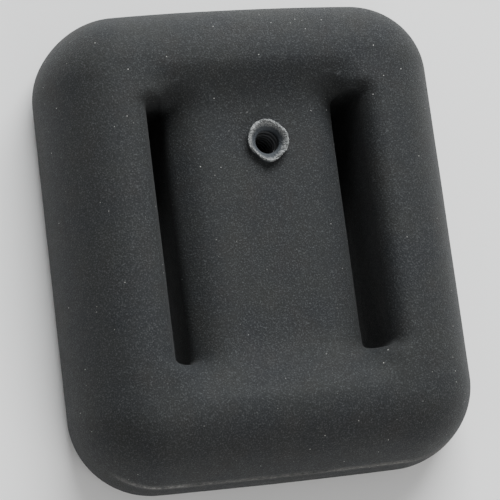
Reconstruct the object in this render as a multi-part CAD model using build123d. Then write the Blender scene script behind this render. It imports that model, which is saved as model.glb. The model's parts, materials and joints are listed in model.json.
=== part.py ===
from build123d import *
from math import atan2, cos, radians, tan
import os

# Slotted belt weight: a lead casting dipped in soft vinyl.  The belt passes up through one slot,
# over the sunken bridge and down through the other.  Millimetres.  X runs across the bridge,
# Y runs along the slots towards the hook hole, Z is up; the flat back rests on Z = 0 and the
# origin is at the middle of the back.

# Driving dimensions
LENGTH = 105.0            # along Y, over the vinyl
WIDTH = 88.7              # along X, over the vinyl
THICKNESS = 28.0          # back to the crown of the ring
PLAN_CORNER = 17.5        # corner radius seen from above
HOOK_END_BOW = 1.5        # the end by the hook hole stands out this much more in its middle
FOOT_END_BOW = 0.65       # the same at the other end
CROWN_ROUND = 15.0        # radius of the ring's outer shoulder
BACK_ROUND = 5.0          # radius round the edge of the back
WALL_DRAFT = 5.0          # degrees that the side wall leans in as it rises

SKIN = 1.5                # thickness of the vinyl

SLOT_WIDTH = 4.4          # across the slot, inside the vinyl
SLOT_LENGTH = 55.8        # takes 50 mm webbing
SLOT_CENTRE = 21.2        # from the middle to the slot's centre line
SLOT_SHIFT = 0.7          # the slots lie this much nearer to the hook end
SLOT_CORNER = 1.6         # corner radius of the slot seen from above
MOUTH_ROUND = 4.0         # rounding of the slot's upper mouth
BACK_MOUTH_ROUND = 2.5    # rounding of the slot's mouth in the back

BRIDGE_DROP = 5.2         # bridge lies this far below the crown
RECESS_HALF_X = 21.6      # half width of the recess floor
RECESS_HALF_Y = 25.6      # half length of the recess floor
RECESS_RUN_X = 4.5        # the sides lean out by this much over the drop
RECESS_RUN_Y = 10.0       # the ends lean out by this much over the drop
RECESS_CORNER = 7.5       # corner radius of the recess floor
RECESS_FLOOR_ROUND = 5.0  # rounding between floor and sides
RECESS_LIP_ROUND = 5.0    # rounding between sides and crown

HOOK_X = 2.1              # the hook hole lies a little off the middle
HOOK_Y = 18.7
HOOK_RADIUS = 2.6         # bore left by the dipping hook
HOOK_DEPTH = 14.0         # depth below the top of the bridge

COLLAR_RADIUS = 4.6       # outside of the torn vinyl lip
COLLAR_MOUTH_RADIUS = 3.5 # inside of the lip at its top
COLLAR_HEIGHT = 2.0       # above the bridge

PASS = 5.0                # cutters run past the faces by this much
TOUCH = 0.01              # margin when edges are picked by their place

BRIDGE_TOP = THICKNESS - BRIDGE_DROP


def lean_shift(run, inset):
    """How far a leaning side moves outwards when it, the floor and the crown all sink by inset."""
    return inset * tan(atan2(BRIDGE_DROP, run) / 2)


def recess_cutter(inset):
    """Sunken area with leaning sides, open upwards."""
    floor_z = BRIDGE_TOP - inset
    height = BRIDGE_DROP + PASS
    half_x = RECESS_HALF_X + lean_shift(RECESS_RUN_X, inset)
    half_y = RECESS_HALF_Y + lean_shift(RECESS_RUN_Y, inset)
    lean_x = RECESS_RUN_X * height / BRIDGE_DROP
    lean_y = RECESS_RUN_Y * height / BRIDGE_DROP
    floor = RectangleRounded(2 * half_x, 2 * half_y, RECESS_CORNER)
    mouth = RectangleRounded(2 * (half_x + lean_x), 2 * (half_y + lean_y), RECESS_CORNER + lean_x)
    cutter = loft([Pos(0, 0, floor_z) * floor, Pos(0, 0, floor_z + height) * mouth])
    floor_edges = cutter.edges().group_by(Axis.Z)[0]
    return fillet(floor_edges, RECESS_FLOOR_ROUND + inset)


def slot_cutter(side, inset):
    """Straight slot through the whole block, on the left (-1) or right (+1)."""
    opening = RectangleRounded(
        SLOT_WIDTH + 2 * inset, SLOT_LENGTH + 2 * inset, SLOT_CORNER + inset
    )
    return Pos(side * SLOT_CENTRE, SLOT_SHIFT, -PASS) * extrude(opening, THICKNESS + 2 * PASS)


def mouth_edges(body, inset, low, high):
    """Edges of both slots' mouths whose middles lie between two heights."""
    half_width = SLOT_WIDTH / 2 + inset + TOUCH
    half_length = SLOT_LENGTH / 2 + inset + TOUCH
    level = body.edges().filter_by_position(Axis.Z, low, high)
    level = level.filter_by_position(Axis.Y, SLOT_SHIFT - half_length, SLOT_SHIFT + half_length)
    picked = ShapeList()
    for middle in (-SLOT_CENTRE, SLOT_CENTRE):
        picked += level.filter_by_position(Axis.X, middle - half_width, middle + half_width)
    return picked


def outline(inset):
    """The foot of the side wall before its edge is rounded: straight sides, bowed ends."""
    lean = radians(WALL_DRAFT)
    rounded_off = (BACK_ROUND - inset) * (tan(lean) + 1 / cos(lean) - 1)
    half_x = WIDTH / 2 - inset + rounded_off
    half_y = LENGTH / 2 - inset + rounded_off
    hook_corner = half_y - HOOK_END_BOW
    foot_corner = FOOT_END_BOW - half_y
    edges = [
        Line((half_x, foot_corner), (half_x, hook_corner)),
        ThreePointArc((half_x, hook_corner), (0, half_y), (-half_x, hook_corner)),
        Line((-half_x, hook_corner), (-half_x, foot_corner)),
        ThreePointArc((-half_x, foot_corner), (0, -half_y), (half_x, foot_corner)),
    ]
    face = make_face(edges)
    return fillet(face.vertices(), PLAN_CORNER - inset + rounded_off)


def block(inset):
    """The whole block, with every face moved inwards by inset."""
    body = extrude(outline(inset), THICKNESS - 2 * inset, taper=WALL_DRAFT)
    body = Pos(0, 0, inset) * body
    body = fillet(body.edges().group_by(Axis.Z)[-1], CROWN_ROUND - inset)
    body = fillet(body.edges().group_by(Axis.Z)[0], BACK_ROUND - inset)

    body -= recess_cutter(inset)
    crown_face = body.faces().filter_by(Axis.Z).sort_by(Axis.Z)[-1]
    body = fillet(crown_face.inner_wires()[0].edges(), RECESS_LIP_ROUND - inset)

    for side in (-1, 1):
        body -= slot_cutter(side, inset)
    upper = mouth_edges(body, inset, BRIDGE_TOP - inset - TOUCH, THICKNESS)
    body = fillet(upper, MOUTH_ROUND - inset)
    lower = mouth_edges(body, inset, inset - TOUCH, inset + TOUCH)
    return fillet(lower, BACK_MOUTH_ROUND - inset)


def hook_bore(depth):
    """Bore of the hook hole, from above the bridge down to depth below its top."""
    bore = Cylinder(HOOK_RADIUS, depth + PASS, align=(Align.CENTER, Align.CENTER, Align.MIN))
    return Pos(HOOK_X, HOOK_Y, BRIDGE_TOP - depth) * bore


def lead_core():
    return block(SKIN) - hook_bore(HOOK_DEPTH)


def vinyl_coating():
    return block(0) - block(SKIN) - hook_bore(HOOK_DEPTH)


def hook_hole_collar():
    """Lip of vinyl left standing round the hole where the hook was pulled out."""
    section = Polyline(
        (HOOK_RADIUS, 0),
        (COLLAR_RADIUS, 0),
        (COLLAR_RADIUS, COLLAR_HEIGHT),
        (COLLAR_MOUTH_RADIUS, COLLAR_HEIGHT),
        close=True,
    )
    lip = revolve(Plane.XZ * make_face(section), Axis.Z)
    return Pos(HOOK_X, HOOK_Y, BRIDGE_TOP) * lip


parts = {
    "lead_core": lead_core(),
    "vinyl_coating": vinyl_coating(),
    "hook_hole_collar": hook_hole_collar(),
}

os.makedirs("parts", exist_ok=True)
for name, shape in parts.items():
    export_step(shape, f"parts/{name}.step")
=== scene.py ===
import json
from math import asin, cos, pi, radians, sin
from typing import NamedTuple

import bmesh
import bpy
import numpy as np
from mathutils import Matrix, Vector, noise
from mathutils.geometry import delaunay_2d_cdt


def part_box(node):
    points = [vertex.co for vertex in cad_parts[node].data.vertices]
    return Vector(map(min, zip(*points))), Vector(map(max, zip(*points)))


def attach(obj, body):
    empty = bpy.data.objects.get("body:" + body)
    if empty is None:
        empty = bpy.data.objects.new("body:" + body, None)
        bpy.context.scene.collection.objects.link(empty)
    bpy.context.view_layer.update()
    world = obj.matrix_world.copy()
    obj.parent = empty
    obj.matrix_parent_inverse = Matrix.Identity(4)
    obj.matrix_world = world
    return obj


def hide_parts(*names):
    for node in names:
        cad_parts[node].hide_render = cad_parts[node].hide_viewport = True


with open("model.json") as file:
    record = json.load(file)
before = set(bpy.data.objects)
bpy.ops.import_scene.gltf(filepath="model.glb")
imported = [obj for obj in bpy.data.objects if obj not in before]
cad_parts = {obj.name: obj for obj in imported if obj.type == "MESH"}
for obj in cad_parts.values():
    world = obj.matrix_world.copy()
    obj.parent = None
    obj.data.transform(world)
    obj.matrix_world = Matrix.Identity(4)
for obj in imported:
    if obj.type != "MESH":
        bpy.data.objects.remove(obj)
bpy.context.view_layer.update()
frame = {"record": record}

# Slotted belt weight: a lead casting under a dipped vinyl skin, with a torn lip round the hook hole.
# Sizes are in millimetres, and become metres when a mesh, a rule or a material takes them.
MM = 0.001

mounts = {mount["name"]: mount for mount in frame["record"]["mounts"]}
skin_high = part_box("vinyl_coating")[1] / MM

# ---------------------------------------------------------------- sizes of the block
HALF_WIDTH = skin_high.x
HALF_LENGTH = skin_high.y
THICKNESS = skin_high.z
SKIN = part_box("lead_core")[0].z / MM          # thickness of the vinyl
PLAN_CORNER = 17.5                            # corner radius seen from above
HOOK_END_BOW = 1.5                            # the hook end's corners lie this far behind its middle
FOOT_END_BOW = 0.65                           # the same at the foot end, away from the hook hole
BACK_ROUND = 5.0                              # rounding round the edge of the back
CROWN_INSET = 15.0                            # from the outline in to the top of the ring

RIDGE_HEIGHT = 0.16                           # casting line along the wall of the foot end
RIDGE_Z = 13.0                                # its height above the back
RIDGE_SPREAD = 0.42                           # half its width
RIDGE_LOW = RIDGE_Z - 3 * RIDGE_SPREAD
RIDGE_HIGH = RIDGE_Z + 3 * RIDGE_SPREAD
RIDGE_FACING = 0.75                           # it starts where the wall faces the foot this much
RIDGE_WEAR_SCALE = 0.12                       # of the patches in which it is worn

SLOT_CENTRE, SLOT_SHIFT = (value / MM for value in mounts["right_belt_slot"]["pos_m"][:2])
SLOT_HALF_WIDTH = 2.2
SLOT_HALF_LENGTH = 28.3
SLOT_CORNER = 1.6
MOUTH_BRIDGE = 9.8                            # how far the mouth's rounding reaches over the bridge
MOUTH_RING = 5.0                              # ... over the ring
MOUTH_END = 2.2                               # ... at the ends of the slot
MOUTH_BRIDGE_DEPTH = 8.0                      # depth of the rounding at the bridge
MOUTH_RING_DEPTH = 4.8                        # ... at the ring
MOUTH_END_DEPTH = 1.9                         # ... and at the ends
BACK_MOUTH = 2.5                              # rounding of the mouth in the back

BRIDGE_DROP = 5.2                             # the bridge lies this far below the crown
RECESS_HALF_X = 16.5                          # the sunken area is level up to here
RECESS_HALF_Y = 16.0
RECESS_RUN_X = 9.0                            # and has come up to the crown after this much more
RECESS_RUN_Y = 20.6
RECESS_EASE = 2.2                             # above 1, its ends rise late, close to the crown
SINK_FROM = 7.0                               # below this height nothing sinks with the bridge
SINK_FULL = 15.0                              # and above this one everything does
UNEVENNESS = 0.12                             # the skin lies up to this far inside its true shape
LUMP_SCALE = 45.0                             # of those lumps, per metre
LEAD_GAP = 0.03                               # keeps the lead just clear of the skin's inside

HOOK_SIDES = 48                               # points round the hook hole
THREAD_PITCH = 1.6                            # of the thread that the hook cut
THREAD_RIB = 0.32                             # radius of the rib between its turns
THREAD_CLEAR = 1.0                            # from its ends to the lead's top and the stated floor

hook = Vector(mounts["hook_hole"]["pos_m"]) / MM
HOOK_RADIUS = mounts["hook_hole"]["dims"]["r_mm"]
HOOK_DEPTH = mounts["hook_hole"]["dims"]["length_mm"]
BRIDGE_TOP = THICKNESS - BRIDGE_DROP


# ---------------------------------------------------------------- shapes in the plane
def smooth(value):
    """Soft step from 0 to 1 as value goes from 0 to 1."""
    value = np.clip(value, 0.0, 1.0)
    return value * value * (3 - 2 * value)


def rounded_loop(half_x, half_y, radius, pitch):
    """Points of a rounded rectangle, anticlockwise, and the outward direction at each."""
    points = []
    outward = []
    for quarter in range(4):
        turn = quarter * pi / 2
        facing = np.array([cos(turn), sin(turn)])
        along = np.array([-sin(turn), cos(turn)])
        reach, half_side = (half_x, half_y) if quarter % 2 == 0 else (half_y, half_x)
        straight = half_side - radius
        for step in np.linspace(-straight, straight, max(2, round(2 * straight / pitch) + 1))[:-1]:
            points.append(facing * reach + along * step)
            outward.append(facing)
        centre = facing * (reach - radius) + along * straight
        arc_steps = max(6, round(radius * pi / 2 / pitch))
        for angle in np.arange(arc_steps) * (pi / 2 / arc_steps):
            direction = facing * cos(angle) + along * sin(angle)
            points.append(centre + direction * radius)
            outward.append(direction)
    return np.array(points), np.array(outward)


def circle(centre, radius, count):
    """Points of a circle, anticlockwise."""
    angles = np.arange(count) * 2 * pi / count
    directions = np.stack([np.cos(angles), np.sin(angles)], axis=1)
    return np.array(centre)[:2] + directions * radius


def inside(points, loop):
    """Which points lie inside a closed loop."""
    found = np.zeros(len(points), bool)
    for start, end in zip(loop, np.roll(loop, -1, axis=0)):
        crosses = (start[1] > points[:, 1]) != (end[1] > points[:, 1])
        rise = end[1] - start[1] if end[1] != start[1] else 1.0
        at = start[0] + (points[:, 1] - start[1]) / rise * (end[0] - start[0])
        found ^= crosses & (points[:, 0] < at)
    return found


# ---------------------------------------------------------------- patches joined into one skin
class Patchwork:
    """Collects the patches of one piece; patches that share an edge share its points."""

    ROW_SPACING = 0.866       # between rows of even triangles, in sides
    EDGE_GAP = 0.62           # the points of a sheet keep this far from its edges, in sides
    SAME_POINT = 0.002        # points nearer than this become one

    def __init__(self):
        self.points = []
        self.faces = []

    def rings(self, rows):
        """Four-sided faces between closed rings with equal numbers of points."""
        base = len(self.points)
        count = len(rows[0])
        for row in rows:
            self.points.extend(map(tuple, row))
        for low in range(len(rows) - 1):
            for here in range(count):
                after = (here + 1) % count
                a, b = base + low * count, base + (low + 1) * count
                self.faces.append((a + here, a + after, b + after, b + here))

    def sheet(self, rim, holes, height, pitch):
        """Level sheet of even triangles inside rim and outside every hole."""
        loops = [rim, *holes]
        edge = np.concatenate(loops)
        low, high = rim.min(axis=0), rim.max(axis=0)
        rows = np.arange(low[1], high[1], pitch * self.ROW_SPACING)
        grid = [
            (x + (pitch / 2 if number % 2 else 0), y)
            for number, y in enumerate(rows)
            for x in np.arange(low[0], high[0], pitch)
        ]
        grid = np.array(grid)
        grid = grid[inside(grid, rim)]
        for hole in holes:
            grid = grid[~inside(grid, hole)]
        gap = np.array([np.hypot(*(edge - point).T).min() for point in grid])
        grid = grid[gap > self.EDGE_GAP * pitch]
        borders = []
        start = 0
        for loop in loops:
            size = len(loop)
            borders += [(start + k, start + (k + 1) % size) for k in range(size)]
            start += size
        flat = np.concatenate([edge, grid])
        placed, _, triangles, _, _, _ = delaunay_2d_cdt(
            [Vector(point) for point in flat], borders, [], 0, 1e-6
        )
        placed = np.array(placed)
        triangles = np.array([tuple(face) for face in triangles])
        middles = placed[triangles].mean(axis=1)
        keep = inside(middles, rim)
        for hole in holes:
            keep &= ~inside(middles, hole)
        base = len(self.points)
        self.points.extend((x, y, height) for x, y in placed)
        self.faces.extend(tuple(int(k) + base for k in face) for face in triangles[keep])

    def make(self, name):
        """The finished mesh object, closed, facing outwards, in metres."""
        mesh = bpy.data.meshes.new(name)
        mesh.from_pydata([Vector(point) * MM for point in self.points], [], self.faces)
        work = bmesh.new()
        work.from_mesh(mesh)
        bmesh.ops.remove_doubles(work, verts=work.verts, dist=self.SAME_POINT * MM)
        loose = [point for point in work.verts if not point.link_faces]
        bmesh.ops.delete(work, geom=loose, context="VERTS")
        bmesh.ops.recalc_face_normals(work, faces=work.faces)
        for face in work.faces:
            face.smooth = True
        work.to_mesh(mesh)
        work.free()
        piece = bpy.data.objects.new(name, mesh)
        bpy.context.collection.objects.link(piece)
        return piece


def at_height(loop, height):
    """A flat loop with its heights, one number or one for each point."""
    return np.column_stack([loop, np.broadcast_to(height, len(loop))])


# ---------------------------------------------------------------- the dipped skin
class Detail(NamedTuple):
    """How finely one surface of the skin is laid out; whole numbers count its rows of points."""

    pitch: float              # between points along an outline
    back_edge: int
    wall: tuple               # for each stretch of the wall, the height of its top and its rows
    crown: int
    mouth: int
    slot_wall: int
    back_mouth: int


OUTSIDE = Detail(
    pitch=0.8,
    back_edge=9,
    wall=((RIDGE_LOW, 11), (RIDGE_HIGH, 14), (21.0, 9)),
    crown=24,
    mouth=12,
    slot_wall=20,
    back_mouth=8,
)
CAVITY = Detail(
    pitch=2.0,
    back_edge=4,
    wall=((20.0, 7),),
    crown=7,
    mouth=5,
    slot_wall=6,
    back_mouth=4,
)
TOP_TRIANGLE = 1.15           # side of the triangles on the top, in pitches
BACK_TRIANGLE = 2.2           # and on the back


def wall_profile(skin, detail):
    """Inset and height of the rows from the back's edge up to the crown."""
    back = BACK_ROUND - skin
    rows = []
    for angle in np.linspace(0, pi / 2, detail.back_edge):
        rows.append((skin + back * (1 - sin(angle)), skin + back * (1 - cos(angle))))
    rise = THICKNESS - BACK_ROUND - skin
    heights = []
    low = BACK_ROUND
    for high, count in detail.wall:
        heights.extend(np.linspace(low, high, count)[1:])
        low = high
    angles = [asin((height - BACK_ROUND) / rise) for height in heights]
    angles += list(np.linspace(angles[-1], pi / 2, detail.crown)[1:])
    for angle in angles:
        inset = skin + (CROWN_INSET - skin) * (1 - cos(angle))
        rows.append((inset, BACK_ROUND + rise * sin(angle)))
    return rows


def ridge(points, outward, height):
    """How far the worn casting line stands proud of the wall, at each point of a row."""
    strength = smooth((-outward[:, 1] - RIDGE_FACING) / (1 - RIDGE_FACING))
    worn = [0.75 + 0.5 * noise.noise(Vector((x, y, 0)) * RIDGE_WEAR_SCALE) for x, y in points]
    bell = np.exp(-(((height - RIDGE_Z) / RIDGE_SPREAD) ** 2))
    return RIDGE_HEIGHT * bell * strength * np.array(worn)


def slot_loops(side, skin, pitch):
    """The slot's outline, the way out from it, and the size of its rounded mouth at each point."""
    points, outward = rounded_loop(
        SLOT_HALF_WIDTH + skin, SLOT_HALF_LENGTH + skin, SLOT_CORNER + skin, pitch
    )
    points = points + np.array([side * SLOT_CENTRE, SLOT_SHIFT])
    across, along = outward[:, 0] ** 2, outward[:, 1] ** 2
    at_ring = outward[:, 0] * side > 0
    side_reach = np.where(at_ring, MOUTH_RING, MOUTH_BRIDGE)
    side_depth = np.where(at_ring, MOUTH_RING_DEPTH, MOUTH_BRIDGE_DEPTH)
    reach = across * side_reach + along * MOUTH_END - skin
    depth = across * side_depth + along * MOUTH_END_DEPTH - skin
    return points, outward, reach, depth


def slot_surface(side, skin, detail):
    """Rows of one slot, from the edge of its upper mouth down to the edge of its mouth in the back."""
    points, away, reach, depth = slot_loops(side, skin, detail.pitch)
    top = THICKNESS - skin
    rows = []
    for angle in np.linspace(pi / 2, 0, detail.mouth):
        loop = points + away * (reach * (1 - cos(angle)))[:, None]
        rows.append(at_height(loop, top - depth * (1 - sin(angle))))
    for share in np.linspace(0, 1, detail.slot_wall)[1:-1]:
        rows.append(at_height(points, (top - depth) * (1 - share) + BACK_MOUTH * share))
    for angle in np.linspace(0, pi / 2, detail.back_mouth):
        loop = points + away * (BACK_MOUTH - skin) * (1 - cos(angle))
        rows.append(at_height(loop, BACK_MOUTH - (BACK_MOUTH - skin) * sin(angle)))
    return rows


def add_skin(work, skin, detail):
    """Adds one surface of the skin, closed but for the hook hole; returns the rim of that hole."""
    outline, outward = rounded_loop(HALF_WIDTH, HALF_LENGTH, PLAN_CORNER, detail.pitch)
    rows = []
    for inset, height in wall_profile(skin, detail):
        move = np.full(len(outline), inset)
        if detail is OUTSIDE:
            move -= ridge(outline, outward, height)
        rows.append(at_height(outline - outward * move[:, None], height))
    work.rings(rows)

    top_holes = []
    back_holes = []
    for side in (-1, 1):
        slot_rows = slot_surface(side, skin, detail)
        top_holes.append(slot_rows[0][:, :2])
        back_holes.append(slot_rows[-1][:, :2])
        work.rings(slot_rows)

    top = THICKNESS - skin
    opening = circle(hook, HOOK_RADIUS, HOOK_SIDES)
    work.sheet(rows[-1][:, :2], [*top_holes, opening], top, detail.pitch * TOP_TRIANGLE)
    work.sheet(rows[0][:, :2], back_holes, skin, detail.pitch * BACK_TRIANGLE)
    return at_height(opening, top)


# ---------------------------------------------------------------- formulas as nodes
class Term:
    """A number in a node tree, so that a rule can be written as a formula."""

    def __init__(self, tree, socket):
        self.tree = tree
        self.socket = socket

    def do(self, operation, *others):
        node = self.tree.nodes.new("ShaderNodeMath")
        node.operation = operation
        for place, value in zip(node.inputs, (self, *others)):
            if isinstance(value, Term):
                self.tree.links.new(value.socket, place)
            else:
                place.default_value = value
        return Term(self.tree, node.outputs[0])

    def __add__(self, other):
        return self.do("ADD", other)

    def __sub__(self, other):
        return self.do("SUBTRACT", other)

    def __mul__(self, other):
        return self.do("MULTIPLY", other)

    def __rsub__(self, other):
        return (-self).do("ADD", other)

    def __truediv__(self, other):
        return self.do("DIVIDE", other)

    def __neg__(self):
        return self.do("MULTIPLY", -1.0)

    def absolute(self):
        return self.do("ABSOLUTE")

    def clipped(self):
        """Held between 0 and 1."""
        return self.do("MAXIMUM", 0.0).do("MINIMUM", 1.0)

    def above(self, start, gain):
        """0 up to start, then rising to 1 at this gain."""
        return ((self - start) * gain).clipped()

    def below(self, start, gain):
        """0 down to start, then rising to 1 at this gain."""
        return ((start - self) * gain).clipped()

    def bell(self):
        """1 at zero, falling softly to 0 on both sides."""
        return (-(self * self)).do("EXPONENT")

    def smoothed(self):
        """Soft step from 0 to 1."""
        value = self.clipped()
        return value * value * (value.do("MULTIPLY_ADD", -2.0, 3.0))


def named_inputs(tree, values):
    """Gives a geometry tree its named number inputs, and returns them as terms."""
    for name, value in values.items():
        made = tree.interface.new_socket(name, in_out="INPUT", socket_type="NodeSocketFloat")
        made.default_value = value
    entry = tree.nodes.new("NodeGroupInput")
    terms = {name: Term(tree, entry.outputs[name]) for name in values}
    return entry, terms


def position_terms(tree, source):
    """The three parts of a place or a colour, as terms."""
    split = tree.nodes.new("ShaderNodeSeparateXYZ")
    tree.links.new(source, split.inputs[0])
    return [Term(tree, split.outputs[axis]) for axis in range(3)]


def new_geometry_tree(name):
    tree = bpy.data.node_groups.new(name, "GeometryNodeTree")
    tree.interface.new_socket("Geometry", in_out="INPUT", socket_type="NodeSocketGeometry")
    tree.interface.new_socket("Geometry", in_out="OUTPUT", socket_type="NodeSocketGeometry")
    return tree


def close_tree(tree, geometry, material):
    """Ends a geometry tree in Realize Instances and Set Material."""
    real = tree.nodes.new("GeometryNodeRealizeInstances")
    paint = tree.nodes.new("GeometryNodeSetMaterial")
    paint.inputs["Material"].default_value = material
    leave = tree.nodes.new("NodeGroupOutput")
    tree.links.new(geometry, real.inputs[0])
    tree.links.new(real.outputs[0], paint.inputs["Geometry"])
    tree.links.new(paint.outputs[0], leave.inputs[0])


def apply_tree(piece, tree, values):
    """Runs a geometry tree on a piece and keeps the result as its plain mesh."""
    modifier = piece.modifiers.new(tree.name, "NODES")
    modifier.node_group = tree
    for item in tree.interface.items_tree:
        if item.in_out == "INPUT" and item.name in values:
            modifier[item.identifier] = values[item.name]
    graph = bpy.context.evaluated_depsgraph_get()
    made = bpy.data.meshes.new_from_object(piece.evaluated_get(graph))
    made.name = piece.name
    piece.modifiers.remove(modifier)
    piece.data = made
    return piece


AT_ONCE = 1000.0              # so steep a gain that one side of the middle is 0 and the other 1


def sunken_bridge_tree(values, material):
    """Sinks the bridge, bows the two ends and gives the dipped skin its slight unevenness."""
    tree = new_geometry_tree("sunken_bridge")
    entry, size = named_inputs(tree, values)
    here = tree.nodes.new("GeometryNodeInputPosition")
    x, y, z = position_terms(tree, here.outputs[0])

    out_x = ((x.absolute() - size["Recess half width"]) / size["Recess run across"]).clipped()
    out_y = ((y.absolute() - size["Recess half length"]) / size["Recess run along"]).clipped()
    low_across = 1.0 - out_x.smoothed()
    low_along = 1.0 - out_y.do("POWER", size["Recess ease"]).smoothed()
    level = low_across * low_along
    give = ((z - size["Sink from"]) / (size["Sink full"] - size["Sink from"])).clipped()
    sink = level * give * size["Bridge drop"]

    along = y / size["Half length"]
    across = x / size["Half width"]
    near_end = along * along * across * across
    hook_bow = (along * AT_ONCE).clipped() * size["Hook end bow"]
    foot_bow = (along * -AT_ONCE).clipped() * size["Foot end bow"]
    bow = near_end * (hook_bow - foot_bow)

    lumps = tree.nodes.new("ShaderNodeTexNoise")
    lumps.inputs["Scale"].default_value = LUMP_SCALE
    lumps.inputs["Detail"].default_value = 1.0
    uneven = (Term(tree, lumps.outputs[0]) - 1.0) * size["Unevenness"]
    normal = tree.nodes.new("GeometryNodeInputNormal")
    ripple = tree.nodes.new("ShaderNodeVectorMath")
    ripple.operation = "SCALE"
    tree.links.new(normal.outputs[0], ripple.inputs[0])
    tree.links.new(uneven.socket, ripple.inputs["Scale"])

    down = tree.nodes.new("ShaderNodeCombineXYZ")
    tree.links.new((-bow).socket, down.inputs[1])
    tree.links.new((-sink).socket, down.inputs[2])
    total = tree.nodes.new("ShaderNodeVectorMath")
    tree.links.new(down.outputs[0], total.inputs[0])
    tree.links.new(ripple.outputs[0], total.inputs[1])

    move = tree.nodes.new("GeometryNodeSetPosition")
    tree.links.new(entry.outputs[0], move.inputs["Geometry"])
    tree.links.new(total.outputs[0], move.inputs["Offset"])
    close_tree(tree, move.outputs[0], material)
    return tree


def rule_values():
    """Sizes that the sunken_bridge rule takes, in metres where they are lengths."""
    return {
        "Recess half width": RECESS_HALF_X * MM,
        "Recess half length": RECESS_HALF_Y * MM,
        "Recess run across": RECESS_RUN_X * MM,
        "Recess run along": RECESS_RUN_Y * MM,
        "Recess ease": RECESS_EASE,
        "Sink from": SINK_FROM * MM,
        "Sink full": SINK_FULL * MM,
        "Bridge drop": BRIDGE_DROP * MM,
        "Half width": HALF_WIDTH * MM,
        "Half length": HALF_LENGTH * MM,
        "Hook end bow": HOOK_END_BOW * MM,
        "Foot end bow": FOOT_END_BOW * MM,
        "Unevenness": UNEVENNESS * MM,
    }


def sink_bridge(piece, material):
    """Runs the sunken_bridge rule on a piece."""
    values = rule_values()
    return apply_tree(piece, sunken_bridge_tree(values, material), values)


def make_coating(material):
    """The vinyl skin: outside, cavity for the casting, and the open edge at the hook hole."""
    work = Patchwork()
    outer_opening = add_skin(work, 0.0, OUTSIDE)
    inner_opening = add_skin(work, SKIN, CAVITY)
    work.rings([outer_opening, inner_opening])
    return sink_bridge(work.make("dipped_vinyl_skin"), material)


# ---------------------------------------------------------------- the lead inside
def make_casting(material):
    """The lead block that fills the skin, with the blind bore of the dipping hook."""
    work = Patchwork()
    opening = add_skin(work, SKIN + LEAD_GAP, CAVITY)
    top = THICKNESS - SKIN - LEAD_GAP
    bottom = top - (HOOK_DEPTH - SKIN)
    bore = [at_height(opening[:, :2], height) for height in np.linspace(top, bottom, 8)]
    floor_rings = [
        at_height(circle(hook, HOOK_RADIUS * share, HOOK_SIDES), bottom) for share in (0.5, 0.02)
    ]
    work.rings([*bore, *floor_rings])
    work.faces.append(tuple(range(len(work.points) - len(opening), len(work.points))))
    return sink_bridge(work.make("lead_casting"), material)


def thread_tree(values, material):
    """A low helical rib on the wall of the bore, left by the screwed-in hook."""
    tree = new_geometry_tree("hook_thread_rib")
    entry, size = named_inputs(tree, values)
    spiral = tree.nodes.new("GeometryNodeCurveSpiral")
    spiral.inputs["Resolution"].default_value = 40
    for name, term in (
        ("Rotations", size["Turns"]),
        ("Start Radius", size["Bore radius"]),
        ("End Radius", size["Bore radius"]),
        ("Height", size["Length"]),
    ):
        tree.links.new(term.socket, spiral.inputs[name])
    section = tree.nodes.new("GeometryNodeCurvePrimitiveCircle")
    section.inputs["Resolution"].default_value = 6
    tree.links.new(size["Rib radius"].socket, section.inputs["Radius"])
    sweep = tree.nodes.new("GeometryNodeCurveToMesh")
    sweep.inputs["Fill Caps"].default_value = True
    tree.links.new(spiral.outputs[0], sweep.inputs["Curve"])
    tree.links.new(section.outputs[0], sweep.inputs["Profile Curve"])
    place = tree.nodes.new("GeometryNodeTransform")
    place.inputs["Translation"].default_value = (
        hook.x * MM,
        hook.y * MM,
        (BRIDGE_TOP - HOOK_DEPTH + THREAD_CLEAR) * MM,
    )
    tree.links.new(sweep.outputs[0], place.inputs["Geometry"])
    close_tree(tree, place.outputs[0], material)
    return tree


def make_thread(material):
    """The thread in the bore, made wholly by its rule."""
    length = HOOK_DEPTH - SKIN - 2 * THREAD_CLEAR
    values = {
        "Turns": length / THREAD_PITCH,
        "Bore radius": HOOK_RADIUS * MM,
        "Length": length * MM,
        "Rib radius": THREAD_RIB * MM,
    }
    mesh = bpy.data.meshes.new("hook_thread")
    piece = bpy.data.objects.new("hook_thread", mesh)
    bpy.context.collection.objects.link(piece)
    return apply_tree(piece, thread_tree(values, material), values)


# ---------------------------------------------------------------- the torn lip
COLLAR_SIDES = 260            # points round it
COLLAR_REACH = 4.5            # from the middle of the hook hole to its outside
COLLAR_HEIGHT = 1.75          # above the bridge
COLLAR_BAND = 0.65            # width of the torn rim
THROAT = HOOK_RADIUS - 0.03   # its inside, which covers the edge of the bore
TEAR_SCALE = 4.5              # of the tears round the rim
TEAR_CHANGE = 0.9             # how much they change from one row to the next
RISE_ROUGHER = 1.6            # the heights are rougher than the radii by this factor
RISE_ROW = 40                 # and take their tears this many rows further on


def lobes(angle, *shapes):
    """Sum of soft bumps round the collar, each with its size, middle and spread; degrees."""
    total = 0.0
    for size, middle, spread in shapes:
        away = (angle - middle + 180) % 360 - 180
        total = total + size * np.exp(-((away / spread) ** 2))
    return total


def ragged(direction, row, amount):
    """Torn roughness at each point of one row of the collar."""
    tears = [
        noise.fractal(Vector((x * TEAR_SCALE, y * TEAR_SCALE, row * TEAR_CHANGE)), 0.7, 2.2, 5)
        for x, y in direction
    ]
    return amount * np.array(tears)


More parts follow.
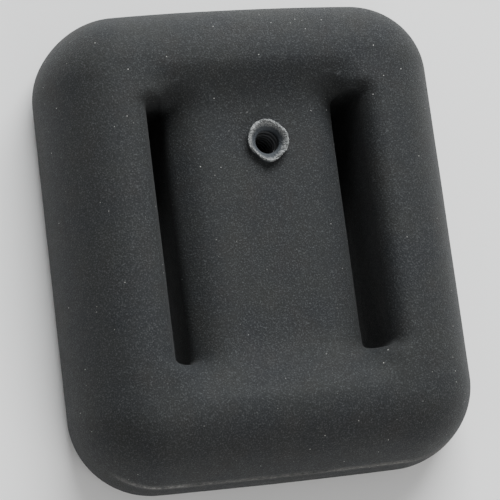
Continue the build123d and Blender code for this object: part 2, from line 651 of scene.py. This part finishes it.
def make_collar(material):
    """The ragged lip of vinyl round the hook hole: throat, funnel, torn rim and skirt."""
    degrees = np.arange(COLLAR_SIDES) * 360 / COLLAR_SIDES
    around = np.radians(degrees)
    direction = np.stack([np.cos(around), np.sin(around)], axis=1)
    reach = COLLAR_REACH + lobes(
        degrees, (0.3, 115, 30), (0.2, 270, 16), (-0.4, 225, 22), (-0.25, 312, 22), (-0.2, 50, 18)
    )
    height = COLLAR_HEIGHT + lobes(degrees, (0.25, 40, 60), (-0.35, 225, 40))
    band = COLLAR_BAND + lobes(degrees, (0.35, 120, 45), (0.45, 10, 50), (-0.2, 235, 40))
    funnel = reach - band - THROAT

    # Each row: radius, height above the bridge, roughness.
    throat_rows = [
        (THROAT, -SKIN - 0.3, 0.0),
        (THROAT, -0.2, 0.02),
        (THROAT + 0.02, 0.25, 0.03),
    ]
    funnel_rows = [
        (THROAT + funnel * 0.35, 0.45, 0.05),
        (THROAT + funnel * 0.7, 0.8, 0.08),
    ]
    rim_rows = [
        (reach - band, height * 0.72, 0.12),
        (reach - band * 0.84, height * 0.9, 0.22),
        (reach - band * 0.66, height, 0.3),
        (reach - band * 0.5, height * 0.98, 0.34),
        (reach - band * 0.34, height, 0.34),
        (reach - band * 0.18, height * 0.94, 0.3),
        (reach - band * 0.04, height * 0.84, 0.22),
    ]
    skirt_rows = [
        (reach, height * 0.66, 0.12),
        (reach - 0.12, height * 0.45, 0.05),
        (reach - 0.2, height * 0.2, 0.03),
        (reach - 0.15, 0.0, 0.0),
        (reach - 0.15, -0.4, 0.0),
    ]
    profile = [*throat_rows, *funnel_rows, *rim_rows, *skirt_rows]
    rows = []
    for number, (radius, rise, rough) in enumerate(profile):
        radius = radius + ragged(direction, number, rough)
        rise = rise + ragged(direction, number + RISE_ROW, rough * RISE_ROUGHER)
        loop = np.array(hook)[:2] + direction * radius[:, None]
        rows.append(at_height(loop, BRIDGE_TOP + rise))
    rows.append(rows[0])
    work = Patchwork()
    work.rings(rows)
    piece = work.make("torn_hook_collar")
    finer = piece.modifiers.new("finer", "SUBSURF")
    finer.levels = 1
    finer.render_levels = 1
    piece.data.materials.append(material)
    return piece


# ---------------------------------------------------------------- materials
COLD_BLACK = (0.0175, 0.0192, 0.0213)
EVEN_BLACK = (0.0215, 0.0228, 0.0226)
WARM_BLACK = (0.0235, 0.0215, 0.02)
PALE_SPECK = (0.064, 0.068, 0.0705)
DARK_SPECK = (0.009, 0.0085, 0.0085)
DUST = (0.5, 0.5, 0.48)
SCUFF = (0.145, 0.142, 0.134)
WORN_SCUFF = (0.26, 0.257, 0.248)
SKIRT_BLACK = (0.036, 0.042, 0.05)
TORN_GREY = (0.07, 0.075, 0.078)
TORN_WHITE = (0.4, 0.41, 0.41)
DARK_LEAD = (0.10, 0.105, 0.115)
PALE_LEAD = (0.24, 0.245, 0.25)
FLOOR_WHITE = (0.93, 0.93, 0.93, 1.0)

SCUFF_SPREAD = 0.9            # half the width of the scuffed line
SCUFF_FROM_END = 6.0          # it starts this far in from the foot end
SCUFF_FADE = 4.0              # and is whole after this much more
WORN_X = -27.0                # where along the foot end it is worn most
WORN_SPREAD = 8.0
WHITE_FROM = 0.55             # the collar whitens from this height above the bridge
WHITE_RUN = 0.95              # and is white after this much more


def new_material(name):
    """A material with its node tree, its shader and the place on the piece."""
    material = bpy.data.materials.new(name)
    material.use_nodes = True
    tree = material.node_tree
    shader = tree.nodes["Principled BSDF"]
    place = tree.nodes.new("ShaderNodeTexCoord").outputs["Object"]
    return material, tree, shader, place


def noise_term(tree, place, scale, detail=2.0, roughness=0.5):
    """Soft random pattern, about 0.5 on average; scale is per metre."""
    node = tree.nodes.new("ShaderNodeTexNoise")
    node.inputs["Scale"].default_value = scale
    node.inputs["Detail"].default_value = detail
    node.inputs["Roughness"].default_value = roughness
    tree.links.new(place, node.inputs["Vector"])
    return Term(tree, node.outputs[0])


def mixed(tree, share, first, second):
    """Colour between first and second; each is a colour or the output of another mix."""
    node = tree.nodes.new("ShaderNodeMix")
    node.data_type = "RGBA"
    tree.links.new(share.socket, node.inputs[0])
    for value, socket in ((first, node.inputs[6]), (second, node.inputs[7])):
        if isinstance(value, tuple):
            socket.default_value = (*value, 1.0)
        else:
            tree.links.new(value, socket)
    return node.outputs[2]


def bump(tree, shader, height, distance):
    """Fine relief in the shading; distance is in metres."""
    node = tree.nodes.new("ShaderNodeBump")
    node.inputs["Distance"].default_value = distance
    tree.links.new(height.socket, node.inputs["Height"])
    tree.links.new(node.outputs[0], shader.inputs["Normal"])


def vinyl_material():
    """Matt black dipped vinyl: fine grain, faint cloudy tints, dust, and a scuffed casting line."""
    material, tree, shader, place = new_material("dipped_vinyl")
    x, y, z = position_terms(tree, place)
    grain = noise_term(tree, place, scale=2600.0, detail=3.0, roughness=0.7)
    speckle = noise_term(tree, place, scale=3000.0, roughness=0.8)
    cloud = noise_term(tree, place, scale=90.0, detail=3.0)
    warm_patch = noise_term(tree, place, scale=150.0)

    base = mixed(tree, cloud.above(0.35, gain=3.0), COLD_BLACK, EVEN_BLACK)
    base = mixed(tree, warm_patch.above(0.5, gain=4.0) * 0.35, base, WARM_BLACK)
    base = mixed(tree, speckle.above(0.53, gain=7.0) * 0.8, base, PALE_SPECK)
    base = mixed(tree, speckle.below(0.44, gain=7.0) * 0.6, base, DARK_SPECK)

    dots = tree.nodes.new("ShaderNodeTexVoronoi")
    dots.inputs["Scale"].default_value = 700.0
    tree.links.new(place, dots.inputs["Vector"])
    pick = position_terms(tree, dots.outputs["Color"])[0]
    rare = pick.above(0.8, gain=7.0)
    near = (1.9 - Term(tree, dots.outputs["Distance"]) * 18.0).clipped()
    base = mixed(tree, rare * near * 0.8, base, DUST)

    line = ((z / MM - RIDGE_Z) / SCUFF_SPREAD).bell()
    foot = ((-y / MM - (HALF_LENGTH - SCUFF_FROM_END)) / SCUFF_FADE).clipped()
    rubbed = noise_term(tree, place, scale=300.0, detail=4.0, roughness=0.75).above(0.3, gain=4.0)
    flecks = noise_term(tree, place, scale=1700.0, detail=3.0, roughness=0.8).above(0.46, gain=6.0)
    worn_end = ((x / MM - WORN_X) / WORN_SPREAD).bell()
    pale = mixed(tree, worn_end, SCUFF, WORN_SCUFF)
    scuff = line * foot * rubbed * (flecks * 0.65 + 0.35)
    base = mixed(tree, scuff * 0.9, base, pale)
    tree.links.new(base, shader.inputs["Base Color"])

    rough = noise_term(tree, place, scale=500.0) * 0.16 + 0.64
    tree.links.new(rough.socket, shader.inputs["Roughness"])
    shader.inputs["Specular IOR Level"].default_value = 0.2
    shader.inputs["Sheen Weight"].default_value = 0.03
    shader.inputs["Sheen Roughness"].default_value = 0.5
    bump(tree, shader, grain + speckle * 0.6, distance=0.1 * MM)
    return material


def torn_material():
    """Vinyl whitened where it was stretched and torn, still dark down its skirt."""
    material, tree, shader, place = new_material("torn_vinyl")
    z = position_terms(tree, place)[2]
    rise = (z / MM - BRIDGE_TOP - WHITE_FROM) / WHITE_RUN
    patches = noise_term(tree, place, scale=900.0, detail=4.0, roughness=0.7)
    white = (rise + (patches - 0.5) * 1.4).smoothed()
    fibres = noise_term(tree, place, scale=3600.0, detail=3.0, roughness=0.8)
    pale = mixed(tree, fibres.above(0.4, gain=4.0), TORN_GREY, TORN_WHITE)
    colour = mixed(tree, white, SKIRT_BLACK, pale)
    tree.links.new(colour, shader.inputs["Base Color"])
    shader.inputs["Roughness"].default_value = 0.75
    bump(tree, shader, fibres + patches, distance=0.12 * MM)
    return material


def lead_material():
    """Dull oxidised lead, as cast and cut by the hook's thread."""
    material, tree, shader, place = new_material("cast_lead")
    blotch = noise_term(tree, place, scale=300.0, detail=4.0, roughness=0.6)
    colour = mixed(tree, blotch, DARK_LEAD, PALE_LEAD)
    tree.links.new(colour, shader.inputs["Base Color"])
    shader.inputs["Metallic"].default_value = 0.7
    rough = blotch * 0.3 + 0.4
    tree.links.new(rough.socket, shader.inputs["Roughness"])
    bump(tree, shader, blotch, distance=0.1 * MM)
    return material


def floor_material():
    """Matt, almost white."""
    material, _, shader, _ = new_material("pale_floor")
    shader.inputs["Base Color"].default_value = FLOOR_WHITE
    shader.inputs["Roughness"].default_value = 0.8
    return material


# ---------------------------------------------------------------- the pieces
vinyl = vinyl_material()
coating = make_coating(vinyl)
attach(coating, "root")
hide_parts("vinyl_coating")

collar = make_collar(torn_material())
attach(collar, "root")
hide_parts("hook_hole_collar")

lead = lead_material()
casting = make_casting(lead)
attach(casting, "root")
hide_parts("lead_core")

thread = make_thread(lead)
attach(thread, "root")


# ---------------------------------------------------------------- floor, light and camera
FLOOR_SIZE = 4.0                              # metres
CAMERA_TURN_X = -12.38                        # degrees that the block seems turned by
CAMERA_TURN_Y = 13.65
CAMERA_TURN_Z = 7.44
CAMERA_PLACE = Vector((1.4, 0.1, 444.1))      # right, up and back from the origin, as it looks
CAMERA_LENS = 144.0
CAMERA_SENSOR = 36.0


def make_floor():
    bpy.ops.mesh.primitive_plane_add(size=FLOOR_SIZE, location=(0, 0, 0))
    floor = bpy.context.object
    floor.name = "floor"
    floor.data.materials.append(floor_material())


def area_light(name, place, size, power, colour):
    """A flat light, size in metres and power in watts, aimed at the middle of the floor."""
    data = bpy.data.lights.new(name, "AREA")
    data.shape = "RECTANGLE"
    data.size, data.size_y = size
    data.energy = power
    data.color = colour
    light = bpy.data.objects.new(name, data)
    bpy.context.collection.objects.link(light)
    light.location = place
    light.rotation_euler = (-Vector(place)).to_track_quat("-Z", "Y").to_euler()


def make_world(strength):
    """Even white light from all round."""
    world = bpy.data.worlds.new("studio")
    world.use_nodes = True
    background = world.node_tree.nodes["Background"]
    background.inputs["Color"].default_value = (1, 1, 1, 1)
    background.inputs["Strength"].default_value = strength
    bpy.context.scene.world = world


def make_camera():
    """Almost straight down, leaning towards the foot end and the left, turned a little."""
    turn = (
        Matrix.Rotation(radians(CAMERA_TURN_X), 3, "X")
        @ Matrix.Rotation(radians(CAMERA_TURN_Y), 3, "Y")
        @ Matrix.Rotation(radians(CAMERA_TURN_Z), 3, "Z")
    )
    aim = turn.transposed()
    place = aim @ CAMERA_PLACE * MM
    data = bpy.data.cameras.new("camera")
    data.lens = CAMERA_LENS
    data.sensor_width = CAMERA_SENSOR
    data.clip_start = 0.01
    camera = bpy.data.objects.new("camera", data)
    bpy.context.collection.objects.link(camera)
    camera.matrix_world = Matrix.Translation(place) @ aim.to_4x4()
    bpy.context.scene.camera = camera


make_floor()
make_world(strength=0.39)
area_light("window", place=(0.25, 0.9, 0.8), size=(0.9, 0.6), power=28.5, colour=(0.98, 1.0, 1.0))
area_light("low_fill", place=(0.45, -0.85, 0.6), size=(1.0, 0.3), power=5.2, colour=(1.0, 0.985, 0.96))
make_camera()
